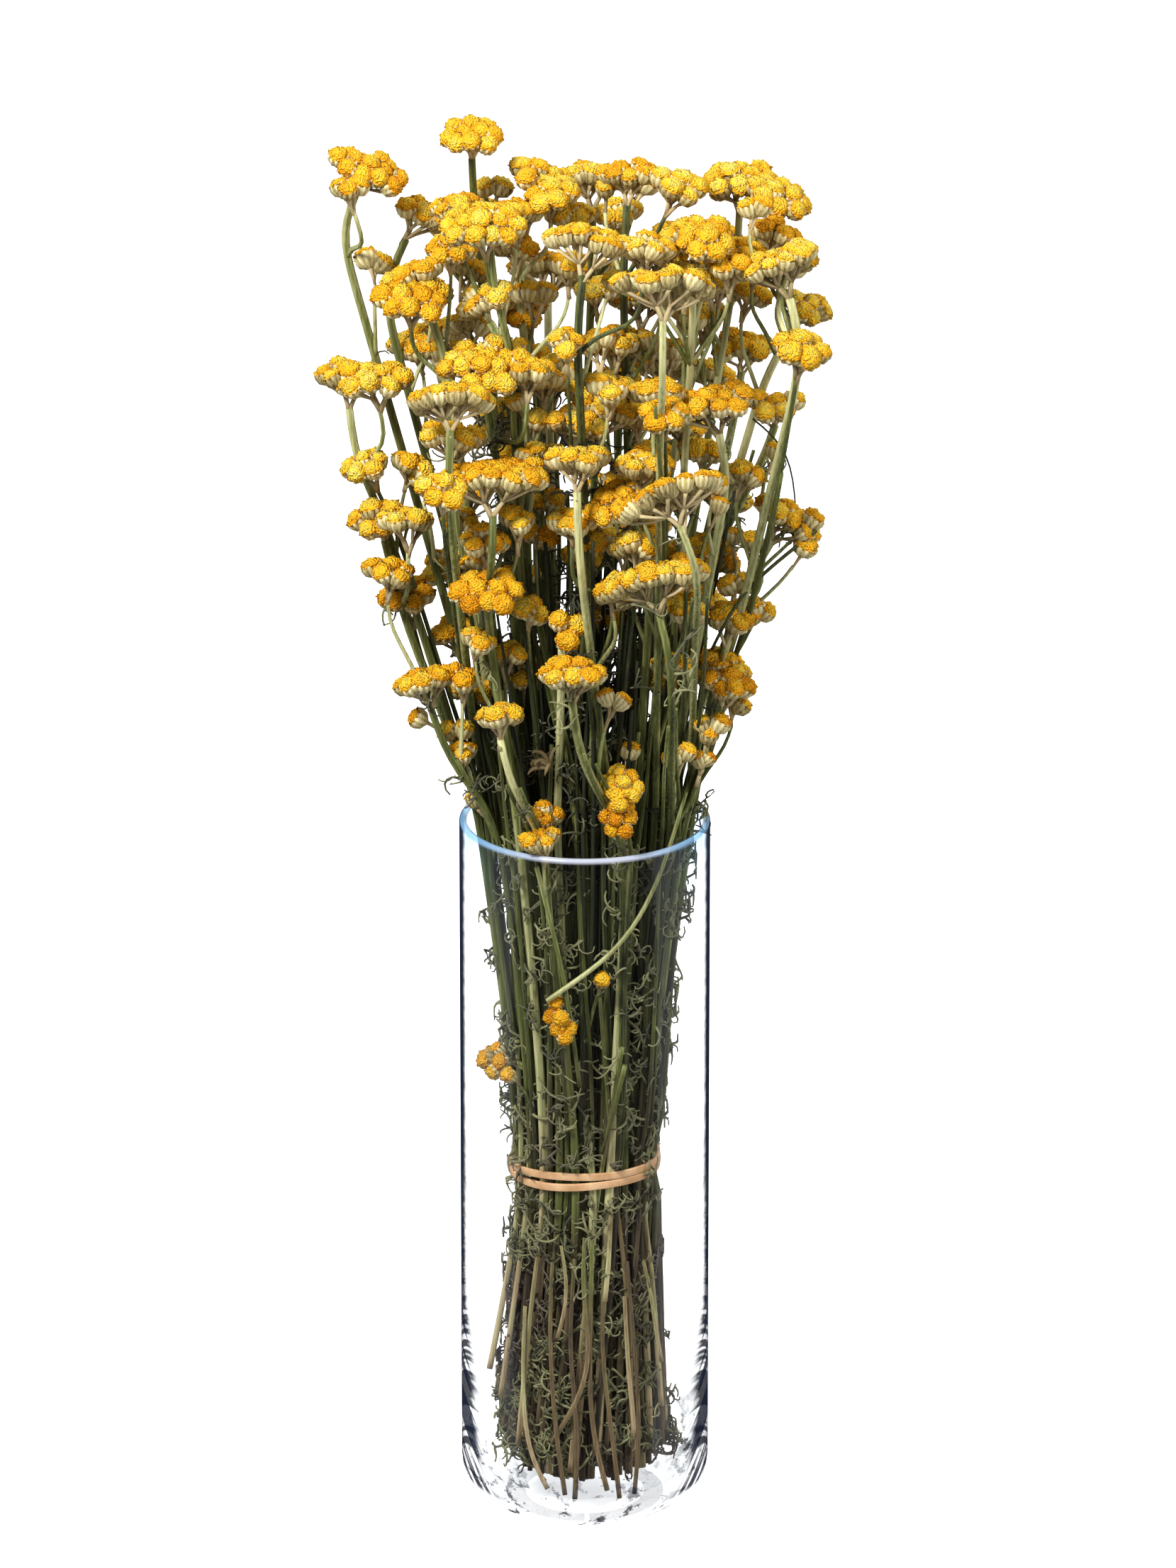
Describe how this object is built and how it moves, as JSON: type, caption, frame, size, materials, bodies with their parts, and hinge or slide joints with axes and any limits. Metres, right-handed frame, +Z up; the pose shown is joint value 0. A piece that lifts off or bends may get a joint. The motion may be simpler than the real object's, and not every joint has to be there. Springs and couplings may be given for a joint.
{
  "type": "dried yellow ageratum in vase",
  "caption": "Banded bunch of dried button flowers on long branching stems, standing in a tall clear cylinder vase.",
  "frame": {"origin": "middle of the vase's flat foot, where it stands", "axes": "+Z up along the vase's axis; the pictured front faces -Y, so +X is to the viewer's right"},
  "size_m": [0.2027, 0.1551, 0.5813],
  "materials": {
    "clear_glass": "clear, smooth, with small seeds and streaks near the foot",
    "tan_rubber": "smooth, dull",
    "dried_stem": "matt, ribbed lengthwise",
    "dried_bloom": "matt, fuzzy with tiny florets"
  },
  "bodies": {
    "root": {"heads_01": "dried_bloom", "heads_02": "dried_bloom", "heads_03": "dried_bloom", "heads_04": "dried_bloom", "heads_05": "dried_bloom", "heads_06": "dried_bloom", "heads_07": "dried_bloom", "heads_08": "dried_bloom", "heads_09": "dried_bloom", "heads_10": "dried_bloom", "heads_11": "dried_bloom", "heads_12": "dried_bloom", "heads_13": "dried_bloom", "heads_14": "dried_bloom", "heads_15": "dried_bloom", "heads_16": "dried_bloom", "heads_17": "dried_bloom", "heads_18": "dried_bloom", "heads_19": "dried_bloom", "heads_20": "dried_bloom", "heads_21": "dried_bloom", "heads_22": "dried_bloom", "heads_23": "dried_bloom", "heads_24": "dried_bloom", "heads_25": "dried_bloom", "heads_26": "dried_bloom", "heads_27": "dried_bloom", "heads_28": "dried_bloom", "heads_29": "dried_bloom", "heads_30": "dried_bloom", "heads_31": "dried_bloom", "heads_32": "dried_bloom", "heads_33": "dried_bloom", "heads_34": "dried_bloom", "heads_35": "dried_bloom", "heads_36": "dried_bloom", "heads_37": "dried_bloom", "heads_38": "dried_bloom", "heads_39": "dried_bloom", "heads_40": "dried_bloom", "heads_41": "dried_bloom", "heads_42": "dried_bloom", "heads_43": "dried_bloom", "heads_44": "dried_bloom", "heads_45": "dried_bloom", "heads_46": "dried_bloom", "heads_47": "dried_bloom", "heads_48": "dried_bloom", "heads_49": "dried_bloom", "heads_50": "dried_bloom", "heads_51": "dried_bloom", "rubber_band": "tan_rubber", "stems_1": "dried_stem", "stems_2": "dried_stem", "stems_3": "dried_stem", "stems_4": "dried_stem", "stems_5": "dried_stem", "stems_6": "dried_stem", "vase": "clear_glass"}
  },
  "joints": []
}
